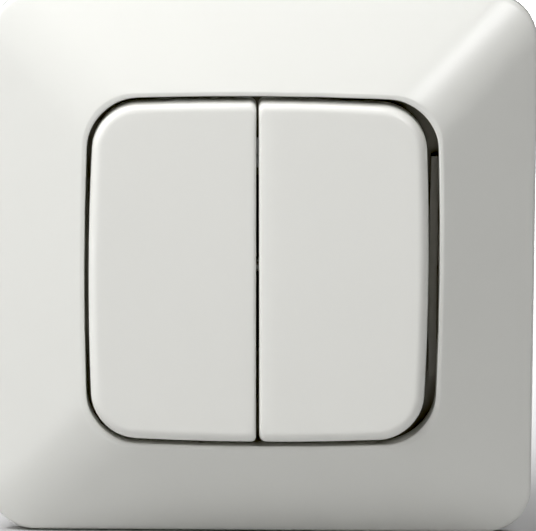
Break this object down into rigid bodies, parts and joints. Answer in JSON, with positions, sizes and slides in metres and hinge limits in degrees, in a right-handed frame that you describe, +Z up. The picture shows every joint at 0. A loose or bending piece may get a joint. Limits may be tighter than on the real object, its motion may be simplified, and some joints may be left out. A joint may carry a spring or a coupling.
{
  "type": "double light switch",
  "caption": "Flush-mounted wall light switch: side-by-side rockers in a square frame with sloped sides, on an insert with contact levers, push-in terminals and claws.",
  "frame": {"origin": "centre of the box screw pattern, on the wall plane that the support plate lies on", "axes": "+X right and +Z up as seen from the room, -Y out of the wall towards the room"},
  "size_m": [0.08, 0.0384, 0.08],
  "materials": {
    "frame_plastic": "semi-gloss moulded thermoplastic, off-white",
    "rocker_plastic": "semi-gloss moulded thermoplastic, off-white",
    "toggle_plastic": "moulded acetal, grey",
    "cover_plastic": "moulded thermoset, dark grey",
    "base_plastic": "moulded thermoset, light grey",
    "release_plastic": "moulded thermoplastic, orange",
    "plate_steel": "sheet steel with a dark passivated finish",
    "fastener_steel": "zinc-plated steel",
    "spring_steel": "spring steel",
    "contact_brass": "stamped brass",
    "contact_silver": "silver contact rivet"
  },
  "bodies": {
    "insert": {"cover_frame": "frame_plastic", "support_plate": "plate_steel", "housing_cover": "cover_plastic", "base_housing": "base_plastic", "pivot_pin": "fastener_steel", "common_bar": "contact_brass", "fixed_contact_left": "contact_brass", "fixed_contact_right": "contact_brass", "fixed_rivet_left": "contact_silver", "fixed_rivet_right": "contact_silver", "clamp_spring_common": "spring_steel", "clamp_spring_left": "spring_steel", "clamp_spring_right": "spring_steel", "assembly_screws": "fastener_steel", "claw_screws": "fastener_steel", "claw_nuts": "fastener_steel"},
    "rocker_left_body": {"rocker_left": "rocker_plastic", "toggle_left": "toggle_plastic", "plunger_spring_left": "spring_steel"},
    "plunger_left_body": {"plunger_left": "toggle_plastic"},
    "lever_left_body": {"contact_lever_left": "contact_brass", "moving_contact_left": "contact_silver"},
    "claw_left_body": {"claw_left": "fastener_steel"},
    "rocker_right_body": {"rocker_right": "rocker_plastic", "toggle_right": "toggle_plastic", "plunger_spring_right": "spring_steel"},
    "plunger_right_body": {"plunger_right": "toggle_plastic"},
    "lever_right_body": {"contact_lever_right": "contact_brass", "moving_contact_right": "contact_silver"},
    "claw_right_body": {"claw_right": "fastener_steel"},
    "release_common_body": {"release_lever_common": "release_plastic"},
    "release_left_body": {"release_lever_left": "release_plastic"},
    "release_right_body": {"release_lever_right": "release_plastic"}
  },
  "joints": [
    {"name": "rocker_left_rock", "type": "hinge", "parent": "insert", "child": "rocker_left_body", "pos_m": [-0.01249, -0.003, 0], "axis": [1, 0, 0], "range_deg": [0, 5]},
    {"name": "lever_left_rock", "type": "hinge", "parent": "insert", "child": "lever_left_body", "pos_m": [-0.01249, 0.00942, 0], "axis": [1, 0, 0], "range_deg": [-20, 0]},
    {"name": "plunger_left_press", "type": "slide", "parent": "rocker_left_body", "child": "plunger_left_body", "axis": [0, -0.999, 0.0436], "range_m": [0, 0.0006], "stiffness_N_per_m": 900, "springref_m": -0.001, "deforming": ["plunger_spring_left"]},
    {"name": "claw_left_spread", "type": "hinge", "parent": "insert", "child": "claw_left_body", "pos_m": [-0.02479, 0.001, -0.005], "axis": [0, 0, 1], "range_deg": [0, 10]},
    {"name": "rocker_right_rock", "type": "hinge", "parent": "insert", "child": "rocker_right_body", "pos_m": [0.01249, -0.003, 0], "axis": [1, 0, 0], "range_deg": [0, 5]},
    {"name": "lever_right_rock", "type": "hinge", "parent": "insert", "child": "lever_right_body", "pos_m": [0.01249, 0.00942, 0], "axis": [1, 0, 0], "range_deg": [-20, 0]},
    {"name": "plunger_right_press", "type": "slide", "parent": "rocker_right_body", "child": "plunger_right_body", "axis": [0, -0.999, 0.0436], "range_m": [0, 0.0006], "stiffness_N_per_m": 900, "springref_m": -0.001, "deforming": ["plunger_spring_right"]},
    {"name": "claw_right_spread", "type": "hinge", "parent": "insert", "child": "claw_right_body", "pos_m": [0.02479, 0.001, 0.005], "axis": [0, 0, -1], "range_deg": [0, 10]},
    {"name": "release_common_press", "type": "slide", "parent": "insert", "child": "release_common_body", "axis": [0, -1, 0], "range_m": [0, 0.0015], "stiffness_N_per_m": 600, "springref_m": -0.0005, "deforming": ["clamp_spring_common"]},
    {"name": "release_left_press", "type": "slide", "parent": "insert", "child": "release_left_body", "axis": [0, -1, 0], "range_m": [0, 0.0015], "stiffness_N_per_m": 600, "springref_m": -0.0005, "deforming": ["clamp_spring_left"]},
    {"name": "release_right_press", "type": "slide", "parent": "insert", "child": "release_right_body", "axis": [0, -1, 0], "range_m": [0, 0.0015], "stiffness_N_per_m": 600, "springref_m": -0.0005, "deforming": ["clamp_spring_right"]}
  ],
  "couplings": [
    {"joint": "lever_left_rock", "follows": "rocker_left_rock", "ratio": -2.8},
    {"joint": "lever_right_rock", "follows": "rocker_right_rock", "ratio": -2.8}
  ]
}
